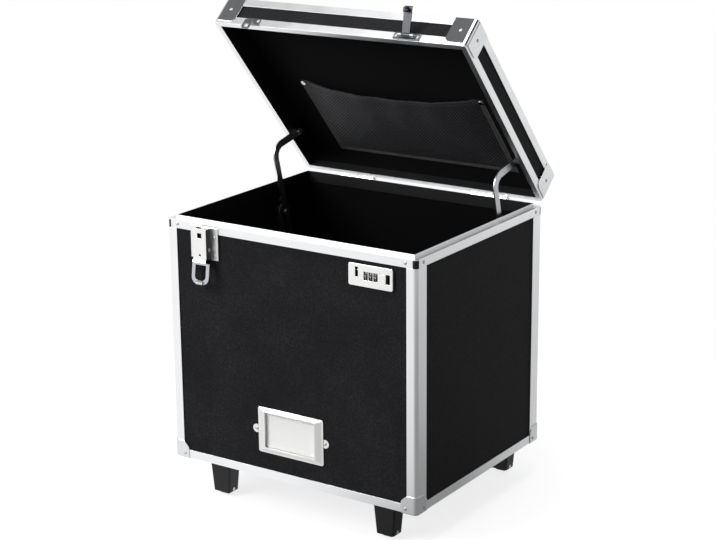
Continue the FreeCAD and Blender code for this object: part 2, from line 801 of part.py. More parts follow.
def lock_bolt():
    """The bolt that the slide carries: a strip over the dials, a tab and the pin that enters the hasp's staple."""
    lip_y = y_front - lock_out + lock_front + button_gap
    low = lock_z + button_h / 2 + button_lip
    pin_z = staple_low + staple_h / 2
    pin_y = hasp_y + hasp_t / 2 + staple_in / 2
    edge = hasp_x + staple_t / 2
    tab = edge + bolt_tab
    strip = box(tab, button_x + button_w, lip_y, lip_y + button_lip, low, low + bolt_t)
    drop = box(tab, tab + bolt_tab, lip_y, pin_y + bolt_r, pin_z - bolt_r, low + bolt_t)
    return one(strip.fuse([drop, rod(edge - bolt_reach, tab, pin_y, pin_z, bolt_r)]))


def hasp_base():
    low = z_lid + 0.4
    high = z_lid + flange - 0.4
    out = y_front - skin_t
    base = box(hasp_x - hasp_base_w / 2, hasp_x + hasp_base_w / 2, out, y_front, low, high)
    base = base.makeFillet(skin_t, along(base, Y))
    near = hasp_w / 2 + side_gap
    for a, b in ((-near - hasp_knuckle_w, -near), (near, near + hasp_knuckle_w)):
        base = base.fuse([rod(hasp_x + a, hasp_x + b, hasp_y, hasp_z, hasp_knuckle_r),
                          box(hasp_x + a, hasp_x + b, hasp_y, out, hasp_z - skin_t, hasp_z + skin_t)])
    reach = near + hasp_knuckle_w
    base = base.cut(rod(hasp_x - reach, hasp_x + reach, hasp_y, hasp_z, hasp_pin_r))
    return drilled(one(base), lid_holes)


def hasp_pin():
    reach = hasp_w / 2 + side_gap + hasp_knuckle_w
    return rod(hasp_x - reach - 1, hasp_x + reach + 1, hasp_y, hasp_z, hasp_pin_r)


def hasp_arm():
    """A flat arm with a lifted tip and a staple, made as locked and swung up."""
    half = hasp_w / 2
    inner = hasp_y + hasp_t / 2
    outer = hasp_y - hasp_t / 2
    end = hasp_z - hasp_len
    tip = end + hasp_tip
    lift = hasp_tip * 0.5
    outline = [(inner, hasp_z), (inner, tip), (inner - lift, end), (outer - lift, end), (outer, tip), (outer, hasp_z)]
    arm = side_prism(outline, hasp_x - half, hasp_x + half)
    deep = inner + staple_in
    staple = box(hasp_x - staple_t / 2, hasp_x + staple_t / 2, inner - hasp_t / 2, deep,
                 staple_low, staple_low + staple_h)
    staple = staple.makeFillet(2.0, [e for e in along(staple, X) if e.BoundBox.YMin > deep - 0.1])
    eye = rod(hasp_x - half, hasp_x + half, inner + staple_in / 2, staple_low + staple_h / 2, staple_hole_r)
    arm = arm.fuse([rod(hasp_x - half, hasp_x + half, hasp_y, hasp_z, hasp_knuckle_r), staple.cut(eye)])
    arm = one(arm.cut(rod(hasp_x - half, hasp_x + half, hasp_y, hasp_z, hasp_pin_r + turn_fit)))
    arm.rotate(V(0, hasp_y, hasp_z), X, -hasp_raised)
    return arm


def label_rim(side, head, foot, y):
    """The outline of the label holder, drawn in by its three borders, at a depth y."""
    x0 = label_x - label_w / 2 + side
    x1 = label_x + label_w / 2 - side
    z0 = label_z - label_h / 2 + foot
    z1 = label_z + label_h / 2 - head
    return Part.makePolygon([V(x0, y, z0), V(x1, y, z0), V(x1, y, z1), V(x0, y, z1), V(x0, y, z0)])


def label_holder():
    """A pressed frame that slopes up to its window, with side ears; the card drops in from the top."""
    edge = y_panel - label_edge_t
    face = y_panel - label_t
    land = (label_side - label_land, label_head - label_land, label_foot - label_land)
    frame = Part.Face(label_rim(0, 0, 0, edge)).extrude(V(0, label_edge_t, 0))
    frame = frame.makeFillet(label_corner_r, along(frame, Y))
    slope = Part.makeLoft([label_rim(1, 1, 1, edge), label_rim(*land, face)], True, True)
    ears = [Part.makeCylinder(label_ear_r, skin_t, V(p[0], y_panel - skin_t, p[2]), Y) for p, n, g in label_places]
    frame = frame.fuse([slope] + ears)
    window = Part.Face(label_rim(label_side, label_head, label_foot, face)).extrude(V(0, label_t, 0))
    held = label_rim(label_side - label_hold, 0, label_foot - label_hold, y_panel - label_pocket_t)
    frame = frame.cut([window, Part.Face(held).extrude(V(0, label_pocket_t, 0))])
    return drilled(one(frame), body_holes)


def label_card():
    side = label_side - label_hold + card_side
    card = label_rim(side, card_side, label_foot - label_hold, y_panel - card_t)
    return Part.Face(card).extrude(V(0, card_t, 0))


def foot(x, y):
    """A tapered housing, hollow for its roller, with a pad that fills the frame's step under the floor."""
    levels = ((z_base, foot_top_w, foot_top_d), (foot_clear, foot_bottom_w, foot_bottom_d))
    loops = []
    for z, w, d in levels:
        face = Part.makePlane(w, d, V(x - w / 2, y - d / 2, z))
        loops.append(face.OuterWire)
    shape = Part.makeLoft(loops, True)
    shape = shape.makeFillet(2.5, [e for e in shape.Edges if e.BoundBox.ZLength > 1])
    w = foot_top_w / 2 - 2.5
    d = foot_top_d / 2 - 2.5
    edge = half_d - flange - side_gap
    pad = box(x - w, x + w, max(y - d, -edge), min(y + d, edge), z_base, z_base + skin_t)
    shape = shape.fuse(pad)
    room = roller_r + roller_room
    well = box(x - roller_w / 2 - roller_side, x + roller_w / 2 + roller_side, y - room, y + room, 0, roller_r)
    arch = rod(x - roller_w / 2 - roller_side, x + roller_w / 2 + roller_side, y, roller_r, room)
    shape = shape.cut([well, arch, rod(x - foot_top_w, x + foot_top_w, y, roller_r, foot_axle_r)])
    return drilled(one(shape), screw_holes)


def foot_axle(x, y):
    share = (roller_r - foot_clear) / (z_base - foot_clear)
    half = (foot_bottom_w + (foot_top_w - foot_bottom_w) * share) / 2
    return rod(x - half, x + half, y, roller_r, foot_axle_r)


def roller(x, y):
    shape = rod(x - roller_w / 2, x + roller_w / 2, y, roller_r, roller_r)
    shape = shape.makeFillet(roller_edge_r, shape.Edges)
    return shape.cut(rod(x - roller_w / 2, x + roller_w / 2, y, roller_r, foot_axle_r + turn_fit))


def foot_screw(x, y):
    stem = Part.makeCylinder(foot_screw_r, floor_top - screw_low, V(x, y, screw_low), Z)
    head = Part.makeCone(foot_screw_head_r, foot_screw_head_r * 0.7, foot_screw_head_h, V(x, y, floor_top), Z)
    return one(stem.fuse(head))


def pocket_room(inset):
    """What the sagging net encloses under the lid's lining, made smaller all round by an inset."""
    run = pocket_end - pocket_mouth
    shares = ((1.0, 0.0), (0.94, 0.45), (0.7, 0.88), (0.38, 1.0), (0.12, 0.86), (0.0, 0.78))
    points = []
    for a, s in shares:
        drop = max(0, pocket_sag * s - inset)
        points.append(V(0, pocket_mouth + run * a - (inset if s == 0 else 0), lining_z - drop))
    if inset:
        points[-1].y = points[-1].y - inset
    curve = Part.BSplineCurve()
    curve.interpolate(points)
    corner = V(0, points[-1].y, lining_z)
    wire = Part.Wire([curve.toShape(), Part.makeLine(points[-1], corner), Part.makeLine(corner, points[0])])
    half = pocket_w / 2 - inset
    room = Part.Face(wire).extrude(V(2 * half, 0, 0))
    room.translate(V(-half, 0, 0))
    return room


def pocket():
    """The net pouch, its hem ribbon down both sides and along the end, and the two press studs at the mouth."""
    net = one(pocket_room(0).cut(pocket_room(pocket_t)))
    half = pocket_w / 2
    low = lining_z - hem_t
    hem = box(-half - hem_w, half + hem_w, pocket_mouth, pocket_end + hem_w, low, lining_z)
    hem = hem.cut(box(-half, half, pocket_mouth, pocket_end, low, lining_z))
    studs = []
    for s in (-1, 1):
        stud = Part.makeCylinder(press_stud_r, press_stud_h, V(s * (half + hem_w / 2), pocket_mouth + stud_in, low), -Z)
        studs.append(stud.makeFillet(0.7, [e for e in stud.Edges if e.BoundBox.ZMax < low - 0.1]))
    return net, hem, studs


rim, plugs = top_rim()
net, hem, press_studs = pocket()
stud = stay_stud()
pin = hinge_pin()
body_leaf = hinge_leaf(False)
lid_leaf = hinge_leaf(True)
base_high = z_base + base_cap_leg
base_caps = corners(lambda: corner_cap(base_cap_leg, base_cap_lobe, z_base, base_high, z_base))
base_caps = [drilled(c, body_holes) for c in base_caps]
lid_low = z_lid + lid_cap_lift
lid_caps = corners(lambda: corner_cap(lid_cap_leg, lid_cap_lobe, lid_low, z_top, z_top))
lid_caps = [drilled(c, lid_holes) for c in lid_caps]
posts = corners(lambda: corner_angle(post_front, post_side, z_base + flange, z_rim - flange))
guide = stay_guide()

nodes = body_panels()
nodes["body_lining"] = body_lining()
nodes["corner_posts"] = Part.makeCompound(posts)
nodes["top_rim"] = rim
nodes["rim_plugs"] = plugs
nodes["base_rim"] = base_rim()
nodes["base_caps"] = Part.makeCompound(base_caps)
nodes["body_rivets"] = Part.makeCompound([rivet(p) for p in body_places])
nodes["hinge_body_leaves"] = Part.makeCompound([body_leaf, mirrored(body_leaf)])
nodes["hinge_pins"] = Part.makeCompound([pin, mirrored(pin)])
nodes["stay_guides"] = Part.makeCompound([guide, mirrored(guide)])
nodes["latch_base"] = latch_base()
nodes["latch_cover"] = latch_cover()
nodes["latch_pin"] = latch_pin()
nodes["latch_lever"] = latch_lever()
nodes["lock_plate"] = lock_plate()
nodes["lock_case"] = lock_case()
nodes["lock_axle"] = rod(rib_xs[0], rib_xs[1] + lock_wall, dial_y, lock_z, axle_r)
nodes["lock_button"] = lock_button()
nodes["lock_bolt"] = lock_bolt()
nodes["label_holder"] = label_holder()
nodes["label_card"] = label_card()
nodes["foot_housings"] = Part.makeCompound([foot(x, y) for x, y in feet])
nodes["foot_axles"] = Part.makeCompound([foot_axle(x, y) for x, y in feet])
nodes["foot_screws"] = Part.makeCompound([foot_screw(x, y) for x, y in screw_at])
nodes["stay_left"] = stay(-1)
nodes["stay_right"] = stay(1)
nodes["stay_pin_left"] = stay_pin(-1)
nodes["stay_pin_right"] = stay_pin(1)
for number, x in enumerate(dial_xs, 1):
    nodes["lock_dial_%d" % number] = lock_dial(x)
for name, (x, y) in zip(("front_left", "front_right", "rear_left", "rear_right"), feet):
    nodes["roller_" + name] = roller(x, y)

lid_nodes = lid_panels()
lid_nodes["lid_lining"] = lid_lining()
lid_nodes["lid_rim"] = lid_rim()
lid_nodes["lid_edge"] = lid_edge()
lid_nodes["lid_caps"] = Part.makeCompound(lid_caps)
lid_nodes["lid_rivets"] = Part.makeCompound([rivet(p) for p in lid_places])
lid_nodes["hinge_lid_leaves"] = Part.makeCompound([lid_leaf, mirrored(lid_leaf)])
lid_nodes["stay_studs"] = Part.makeCompound([stud, mirrored(stud)])
lid_nodes["latch_catch"] = latch_catch()
lid_nodes["hasp_base"] = hasp_base()
lid_nodes["hasp_pin"] = hasp_pin()
lid_nodes["hasp_arm"] = hasp_arm()
lid_nodes["pocket_net"] = net
lid_nodes["pocket_hem"] = hem
lid_nodes["pocket_studs"] = Part.makeCompound(press_studs)
for name, shape in lid_nodes.items():
    nodes[name] = opened(shape)

for name, shape in nodes.items():
    shape.exportStep("parts/%s.step" % name)
    print(name, len(shape.Solids), round(shape.Volume), shape.isValid())
print(len(nodes), "nodes")
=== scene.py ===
# %% [markdown]
# # A rolling file case
# The object is a black box on four short feet, framed in aluminium, with a lid that stands open on
# two bent stays, a lever latch and a small dial lock. Its construction comes in as a fixed frame.
# This lesson dresses it: a finish for every piece, eased edges on the metalwork, and new pieces for
# what is knotted, woven, moulded or printed.

# %% Load the frame
import json
import math

import bmesh
import bpy
from mathutils import Matrix, Vector


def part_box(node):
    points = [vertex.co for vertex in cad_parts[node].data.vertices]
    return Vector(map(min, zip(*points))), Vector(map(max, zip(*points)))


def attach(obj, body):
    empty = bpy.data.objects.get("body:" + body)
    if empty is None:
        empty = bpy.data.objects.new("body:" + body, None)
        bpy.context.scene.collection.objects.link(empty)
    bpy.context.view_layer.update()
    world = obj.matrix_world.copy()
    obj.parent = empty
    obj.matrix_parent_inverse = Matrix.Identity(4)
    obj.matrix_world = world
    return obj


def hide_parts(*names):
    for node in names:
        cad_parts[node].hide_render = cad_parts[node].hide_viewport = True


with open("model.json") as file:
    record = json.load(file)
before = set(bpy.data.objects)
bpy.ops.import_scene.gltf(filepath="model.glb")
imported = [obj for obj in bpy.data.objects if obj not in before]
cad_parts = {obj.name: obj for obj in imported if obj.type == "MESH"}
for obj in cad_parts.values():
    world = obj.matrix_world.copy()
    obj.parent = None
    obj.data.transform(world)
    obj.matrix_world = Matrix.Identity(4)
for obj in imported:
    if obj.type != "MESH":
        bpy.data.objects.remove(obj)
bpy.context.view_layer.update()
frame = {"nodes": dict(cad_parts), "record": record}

MM = 0.001
nodes = frame["nodes"]
record = frame["record"]
scene = bpy.context.scene
scene.view_settings.view_transform = "Standard"
print(len(nodes), "pieces in the frame")

# %% [markdown]
# ## Camera
# The picture was taken from the front right and from a little above the rim, with a long lens, so
# the upright edges stay almost parallel. Aiming a camera by eye would do, but the place and the
# three directions were worked out from the corners of the box, so they are written down directly.
# A hair of roll takes up the tilt of the picture.

# %% Camera
CAMERA_AT = Vector((1.383, -2.058, 1.037))
LOOK = Vector((-0.5352, 0.7974, -0.2791))
LEVEL = Vector((0.8303, 0.5573, 0.0))
ROLL = -0.00932
LENS_MM = 93.6
SENSOR_MM = 36.0

upright = LEVEL.cross(LOOK)
across = LEVEL * math.cos(ROLL) + upright * math.sin(ROLL)
camera_data = bpy.data.cameras.new("camera")
camera_data.lens = LENS_MM
camera_data.sensor_width = SENSOR_MM
camera_data.sensor_fit = "HORIZONTAL"
camera = bpy.data.objects.new("camera", camera_data)
turn = Matrix((across, across.cross(LOOK), -LOOK)).transposed()
camera.matrix_world = Matrix.Translation(CAMERA_AT) @ turn.to_4x4()
scene.collection.objects.link(camera)
scene.camera = camera
print("camera", [round(v, 3) for v in CAMERA_AT], "lens", LENS_MM)

# %% [markdown]
# ## Node helpers
# Every finish below is a small tree of nodes. One function fills a node's inputs: a number or a
# colour is set, an output of another node is linked. A second one adds a node and fills it. Colours
# are picked as hex codes, as a paint chart gives them, and one function turns them to the linear
# values that the shaders count in.

# %% Node helpers
def linear(code):
    """An sRGB hex colour as linear RGBA."""
    values = [int(code[i:i + 2], 16) / 255 for i in (1, 3, 5)]
    return [v / 12.92 if v <= 0.04045 else ((v + 0.055) / 1.055) ** 2.4 for v in values] + [1.0]


def feed(target, inputs):
    """Sets plain values on a node's inputs and links sockets to them."""
    for key, value in inputs.items():
        if isinstance(value, bpy.types.NodeSocket):
            target.id_data.links.new(value, target.inputs[key])
        else:
            target.inputs[key].default_value = value


def add(tree, kind, inputs=None, **settings):
    """Adds one node with its settings and its inputs."""
    made = tree.nodes.new("ShaderNode" + kind)
    for key, value in settings.items():
        setattr(made, key, value)
    feed(made, inputs or {})
    return made


def start_finish(name):
    """A new material, its tree, its shader and the place on the piece in metres."""
    material = bpy.data.materials.new(name)
    material.use_nodes = True
    tree = material.node_tree
    where = add(tree, "TexCoord").outputs["Object"]
    return material, tree, tree.nodes["Principled BSDF"], where


print("mid grey as linear", [round(v, 4) for v in linear("#808080")])

# %% [markdown]
# ## Surroundings
# The case stands in front of plain white, which only the camera sees. Shiny metal sees a studio instead:
# bright on the left, dim on the right where the camera stands, and dark overhead. That is what gives the
# rounded corners their darker stripe. The soft fill light is dim on the right as well, so the right wall
# is the darker one.

# %% Surroundings
DIM_SIDE = Vector((0.95, -0.30, 0.0))
BRIGHT_LEVEL = 1.08
DIM_LEVEL = 0.30
OVERHEAD_LEVEL = 0.20
FILL = 0.55


def eye_and_gloss(tree):
    """1 for what the camera sees, and 1 for what shiny or clear surfaces see."""
    ray = add(tree, "LightPath")
    shiny = add(tree, "Math", {0: ray.outputs["Is Glossy Ray"], 1: ray.outputs["Is Transmission Ray"]},
                operation="MAXIMUM")
    return ray.outputs["Is Camera Ray"], shiny.outputs[0]


def studio_level(tree, way):
    """How bright the studio is in a level direction: full on the left, dim on the right."""
    aim = add(tree, "VectorMath", {0: way}, operation="NORMALIZE")
    side = add(tree, "VectorMath", {0: aim.outputs[0], 1: DIM_SIDE}, operation="DOT_PRODUCT")
    return add(tree, "MapRange", {"Value": side.outputs["Value"], "From Min": -0.25, "From Max": 0.80,
                                  "To Min": BRIGHT_LEVEL, "To Max": DIM_LEVEL}).outputs[0]


world = bpy.data.worlds.new("white_studio")
scene.world = world
world.use_nodes = True
tree = world.node_tree
tree.nodes.clear()
to_eye, to_gloss = eye_and_gloss(tree)
way = add(tree, "TexCoord").outputs["Generated"]
height = add(tree, "SeparateXYZ", {0: way})
overhead = add(tree, "MapRange", {"Value": height.outputs["Z"], "From Min": 0.25, "From Max": 0.8,
                                  "To Min": 1.0, "To Max": OVERHEAD_LEVEL})
around = studio_level(tree, way)
level = add(tree, "Math", {0: around, 1: overhead.outputs[0]}, operation="MULTIPLY")
mirror = add(tree, "Background", {"Color": linear("#ffffff"), "Strength": level.outputs[0]})
fill = add(tree, "Math", {0: around, 1: FILL}, operation="MULTIPLY")
light = add(tree, "Background", {"Color": linear("#f6f8fb"), "Strength": fill.outputs[0]})
white = add(tree, "Background", {"Color": linear("#ffffff"), "Strength": 1.0})
shiny = add(tree, "MixShader", {0: to_gloss, 1: light.outputs[0], 2: mirror.outputs[0]})
all_rays = add(tree, "MixShader", {0: to_eye, 1: shiny.outputs[0], 2: white.outputs[0]})
add(tree, "OutputWorld", {"Surface": all_rays.outputs[0]})
print(world.name)

# %% [markdown]
# ## Floor
# Lighting a floor until it turns white would also bleach the case. Near the case the floor is half real,
# a grey that takes light and shadow, and half a glow that only the camera sees. Further out it is glow
# alone, so it runs into the white of the world with no edge. In the metal the floor mirrors as the studio
# does, and turns white again far off.

# %% Floor
STUDIO_CENTRE = Vector((0.08, 0.0, 0.0))
FLOOR_HALF = 6.0
NEAR_GLOW = 0.80
SHADOW_NEAR = 0.30
SHADOW_FAR = 0.75
MIRROR_NEAR = 1.5
MIRROR_FAR = 2.2
FAR_LEVEL = 1.05

floor_finish = bpy.data.materials.new("matt_white_floor")
floor_finish.use_nodes = True
tree = floor_finish.node_tree
tree.nodes.clear()
to_eye, to_gloss = eye_and_gloss(tree)
where = add(tree, "TexCoord").outputs["Object"]
paint = add(tree, "BsdfDiffuse", {"Color": linear("#9a9a9a")})
half_glow = add(tree, "Emission", {"Color": linear("#ffffff"), "Strength": NEAR_GLOW})
near = add(tree, "AddShader", {0: paint.outputs[0], 1: half_glow.outputs[0]})
far = add(tree, "Emission", {"Color": linear("#ffffff"), "Strength": 1.0})
distance = add(tree, "VectorMath", {0: where}, operation="LENGTH")
fade = add(tree, "MapRange", {"Value": distance.outputs["Value"], "From Min": SHADOW_NEAR,
                              "From Max": SHADOW_FAR}, interpolation_type="SMOOTHSTEP")
seen = add(tree, "MixShader", {0: fade.outputs[0], 1: near.outputs[0], 2: far.outputs[0]})
from_centre = add(tree, "VectorMath", {0: where, 1: STUDIO_CENTRE}, operation="SUBTRACT")
rise = add(tree, "MapRange", {"Value": distance.outputs["Value"], "From Min": MIRROR_NEAR,
                              "From Max": MIRROR_FAR}, interpolation_type="SMOOTHSTEP")
level = add(tree, "Mix", {0: rise.outputs[0], 2: studio_level(tree, from_centre.outputs[0]), 3: FAR_LEVEL})
mirror = add(tree, "Emission", {"Color": linear("#ffffff"), "Strength": level.outputs[0]})
shiny = add(tree, "MixShader", {0: to_gloss, 1: paint.outputs[0], 2: mirror.outputs[0]})
both = add(tree, "MixShader", {0: to_eye, 1: shiny.outputs[0], 2: seen.outputs[0]})
add(tree, "OutputMaterial", {"Surface": both.outputs[0]})

bm = bmesh.new()
bmesh.ops.create_grid(bm, x_segments=1, y_segments=1, size=FLOOR_HALF)
floor_mesh = bpy.data.meshes.new("floor")
bm.to_mesh(floor_mesh)
bm.free()
floor_mesh.materials.append(floor_finish)
floor = bpy.data.objects.new("floor", floor_mesh)
scene.collection.objects.link(floor)
print("floor", 2 * FLOOR_HALF, "m wide")

# %% [markdown]
# ## Lamps
# Three large soft lamps: a main one from the front left, a weaker one from the right and one from
# above. Their power was set so that the white card on the front renders as the white it is painted.

# %% Lamps
AIM = Vector((0.0, 0.0, 0.32))


def lamp(name, at, size, watts):
    """A square lamp that faces the middle of the case."""
    data = bpy.data.lights.new(name, "AREA")
    data.shape = "SQUARE"
    data.size = size
    data.energy = watts
    made = bpy.data.objects.new(name, data)
    turn = (AIM - Vector(at)).to_track_quat("-Z", "Y").to_matrix().to_4x4()
    made.matrix_world = Matrix.Translation(at) @ turn
    scene.collection.objects.link(made)
    print(name, at, size, watts)


lamp("main_lamp", (-1.7, -2.4, 2.0), 1.8, 82.0)
lamp("side_lamp", (2.6, 0.6, 1.7), 1.4, 5.0)
lamp("top_lamp", (0.0, -0.4, 2.9), 1.6, 44.0)

# %% [markdown]
# ## Black laminate board
# The walls are hardboard with a black vinyl laminate, embossed by a roller with a fine pebble grain.
# Real pebbles would be millions of faces, so the grain is bump: the distance to scattered points gives
# round cushions with narrow valleys between them. A slow cloud shifts the tone and the gloss a little,
# as handling does on a real case.

# %% Black laminate board
board, tree, shader, where = start_finish("laminate_board_embossed")
# Embossed vinyl: a soft sheen broken into tiny glints by the pebbles, which hold a little dust in their
# valleys. Real pebbles are about 1 mm across. They are drawn at 2.2 mm so that they show.
pebble = add(tree, "TexVoronoi", {"Vector": where, "Scale": 1 / (2.2 * MM)}, feature="SMOOTH_F1")
cloud = add(tree, "TexNoise", {"Vector": where, "Scale": 1 / (80 * MM), "Detail": 4.0})
dusty = add(tree, "Math", {0: cloud.outputs["Fac"], 1: pebble.outputs["Distance"]}, operation="MULTIPLY")
tone = add(tree, "Mix", {0: dusty.outputs[0], 6: linear("#18181a"), 7: linear("#3a3a3b")}, data_type="RGBA")
gloss = add(tree, "MapRange", {"Value": cloud.outputs["Fac"], "To Min": 0.40, "To Max": 0.56})
relief = add(tree, "Bump", {"Strength": 0.45, "Distance": 0.15 * MM, "Height": pebble.outputs["Distance"]})
feed(shader, {"Base Color": tone.outputs[2], "Roughness": gloss.outputs[0], "Normal": relief.outputs[0],
              "Specular IOR Level": 0.03})
print(board.name)

# %% [markdown]
# ## Black felt lining
# Needled felt is a mat of short fibres, so it swallows light and only a faint fuzz catches it. Sheen
# gives that fuzz without modelling fibres, and two sizes of noise give the tufts.

# %% Black felt lining
felt, tree, shader, where = start_finish("felt_needled_black")
# Felt: almost no shine, a dusty rim of light at grazing angles. Fibres are about 0.7 mm apart.
fibre = add(tree, "TexNoise", {"Vector": where, "Scale": 1 / (0.7 * MM), "Detail": 5.0, "Roughness": 0.7})
tuft = add(tree, "TexNoise", {"Vector": where, "Scale": 1 / (9 * MM), "Detail": 2.0})
tone = add(tree, "Mix", {0: tuft.outputs["Fac"], 6: linear("#040404"), 7: linear("#080809")},
           data_type="RGBA")
relief = add(tree, "Bump", {"Strength": 0.5, "Distance": 0.3 * MM, "Height": fibre.outputs["Fac"]})
feed(shader, {"Base Color": tone.outputs[2], "Roughness": 0.95, "Normal": relief.outputs[0],
              "Specular IOR Level": 0.1, "Sheen Weight": 0.02, "Sheen Roughness": 0.5})
print(felt.name)

# %% [markdown]
# ## Satin aluminium
# The frame is extruded: metal pressed through a die, which leaves fine lines along each bar, then
# etched to a satin. Noise that is stretched along the bar gives the lines. The rims run in X and Y, so
# their lines may change with height only. The posts run in Z, so theirs change across. The lid is tilted,
# so its pattern is turned with it.

# %% Satin aluminium
joints = {j["name"]: j for j in record["behaviour"]["joints"]}
LID_OPEN = math.radians(joints["lid_hinge"]["range_deg"][1])
DIE_LINE = 0.9 * MM
ALONG = 0.004


def satin_aluminium(name, stretch, tilt, smooth=0.24, rough=0.40):
    """An aluminium whose die lines run along a bar, smooth to rough in patches."""
    # Etched extrusion: bright and soft, with lines where the die dragged. Real lines are finer than shown.
    material, tree, shader, where = start_finish(name)
    place = add(tree, "Mapping", {"Vector": where, "Rotation": (tilt, 0, 0), "Scale": stretch})
    line = add(tree, "TexNoise", {"Vector": place.outputs[0], "Scale": 1 / DIE_LINE, "Detail": 3.0})
    smear = add(tree, "TexNoise", {"Vector": where, "Scale": 1 / (30 * MM), "Detail": 3.0})
    tone = add(tree, "Mix", {0: line.outputs["Fac"], 6: linear("#e2e3e5"), 7: linear("#f4f5f6")},
               data_type="RGBA")
    gloss = add(tree, "MapRange", {"Value": smear.outputs["Fac"], "To Min": smooth, "To Max": rough})
    relief = add(tree, "Bump", {"Strength": 0.12, "Distance": 0.05 * MM, "Height": line.outputs["Fac"]})
    feed(shader, {"Base Color": tone.outputs[2], "Metallic": 1.0, "Roughness": gloss.outputs[0],
                  "Normal": relief.outputs[0]})
    print(name)
    return material


rim_metal = satin_aluminium("aluminium_extruded_rims", (ALONG, ALONG, 1.0), 0.0)
lid_metal = satin_aluminium("aluminium_extruded_lid", (ALONG, ALONG, 1.0), LID_OPEN, 0.32, 0.46)
post_metal = satin_aluminium("aluminium_extruded_posts", (1.0, 1.0, ALONG), 0.0)

# %% [markdown]
# ## Pressed, plated and drawn steel
# Seven steels: the lower corner caps are pressed and dull nickel plated, those of the lid are polished
# before plating, the catch and the base of the hasp are tumbled grey nickel, the hasp itself is black
# nickel, the lock plate and the latch cover are polished and bright plated, the label frame and the latch
# base are left satin, and the stays, pins and rivets are plain zinc plate. They differ in tone and in how
# blurred their mirror is. A plating that has been handled is never evenly glossy, so a smear of noise
# drives the roughness in each.

# %% Pressed, plated and drawn steel
def steel(name, dark, light, smooth, rough, grain, depth):
    """A plated metal with a tone, a range of roughness, and a grain of some size and depth."""
    material, tree, shader, where = start_finish(name)
    fine = add(tree, "TexNoise", {"Vector": where, "Scale": 1 / grain, "Detail": 4.0})
    smear = add(tree, "TexNoise", {"Vector": where, "Scale": 1 / (12 * MM), "Detail": 3.0})
    tone = add(tree, "Mix", {0: fine.outputs["Fac"], 6: linear(dark), 7: linear(light)}, data_type="RGBA")
    gloss = add(tree, "MapRange", {"Value": smear.outputs["Fac"], "To Min": smooth, "To Max": rough})
    relief = add(tree, "Bump", {"Strength": depth, "Distance": 0.05 * MM, "Height": fine.outputs["Fac"]})
    feed(shader, {"Base Color": tone.outputs[2], "Metallic": 1.0, "Roughness": gloss.outputs[0],
                  "Normal": relief.outputs[0]})
    print(name)
    return material


# Dull nickel on pressed steel: a grey, slightly pebbled mirror.
cap_steel = steel("steel_pressed_dull_nickel", "#d3d5d6", "#e6e8e9", 0.24, 0.38, 1.2 * MM, 0.12)
# Polished before plating: a deep mirror that turns from dark to white with the face it shows.
lid_cap_steel = steel("steel_pressed_polished_nickel", "#c4c6c8", "#dadcde", 0.06, 0.11, 4.0 * MM, 0.03)
# Grey nickel, tumbled: an even grey with a blurred mirror.
catch_steel = steel("steel_pressed_grey_nickel", "#7c7e81", "#949699", 0.24, 0.36, 1.5 * MM, 0.05)
# Black nickel, rubbed by use: a dark grey mirror, blurred where it is handled.
hasp_steel = steel("steel_pressed_black_nickel", "#3e4042", "#545658", 0.28, 0.40, 2.0 * MM, 0.05)
# Bright nickel on polished steel: a clear mirror with faint smears.
bright_plate = steel("steel_polished_bright_nickel", "#e6e6e5", "#f3f3f1", 0.12, 0.22, 6.0 * MM, 0.02)
# Satin nickel on ground steel: pale and soft, with no clear picture in it.
satin_plate = steel("steel_ground_satin_nickel", "#dcdcdb", "#ececea", 0.32, 0.44, 1.5 * MM, 0.04)
# Zinc on drawn steel: bluish grey and a little cloudy.
zinc_steel = steel("steel_drawn_zinc_plated", "#a9acb0", "#c3c5c8", 0.26, 0.38, 0.8 * MM, 0.12)

# %% [markdown]
# ## Moulded plastic and rubber
# Feet, lock tray and corner plugs are black ABS, sparked in the mould to a fine matt grain. The rollers
# are a grey rubber that picks up dust, which lightens it in patches.

# %% Moulded plastic and rubber
abs_black, tree, shader, where = start_finish("abs_moulded_black")
# Spark-eroded mould: an even, low sheen. The grain is 0.5 mm and only shows close up.
grain = add(tree, "TexNoise", {"Vector": where, "Scale": 1 / (0.5 * MM), "Detail": 3.0})
cloud = add(tree, "TexNoise", {"Vector": where, "Scale": 1 / (25 * MM), "Detail": 2.0})
tone = add(tree, "Mix", {0: cloud.outputs["Fac"], 6: linear("#0c0c0d"), 7: linear("#141415")},
           data_type="RGBA")
gloss = add(tree, "MapRange", {"Value": cloud.outputs["Fac"], "To Min": 0.42, "To Max": 0.58})
relief = add(tree, "Bump", {"Strength": 0.25, "Distance": 0.06 * MM, "Height": grain.outputs["Fac"]})
feed(shader, {"Base Color": tone.outputs[2], "Roughness": gloss.outputs[0], "Normal": relief.outputs[0],
              "Specular IOR Level": 0.3})

rubber, tree, shader, where = start_finish("rubber_moulded_grey")
# Filled rubber: no gloss, paler where dust clings. Dust patches are about 4 mm.
dust = add(tree, "TexNoise", {"Vector": where, "Scale": 1 / (4 * MM), "Detail": 4.0})
tone = add(tree, "Mix", {0: dust.outputs["Fac"], 6: linear("#6a6a6b"), 7: linear("#8c8c8d")},
           data_type="RGBA")
relief = add(tree, "Bump", {"Strength": 0.3, "Distance": 0.1 * MM, "Height": dust.outputs["Fac"]})
feed(shader, {"Base Color": tone.outputs[2], "Roughness": 0.85, "Normal": relief.outputs[0]})
print(abs_black.name, rubber.name)

# %% [markdown]
# ## Card, net, ribbon and studs
# The label is a blank card. The pocket in the lid is a knitted nylon net on a woven ribbon, held by two
# press studs. Thread has a soft shine along it, so the net keeps some gloss and a little sheen. The
# ribbon's weave is two crossed waves at the spacing of its threads, turned with the lid.

# %% Card, net, ribbon and studs
card_paper, tree, shader, where = start_finish("card_uncoated_white")
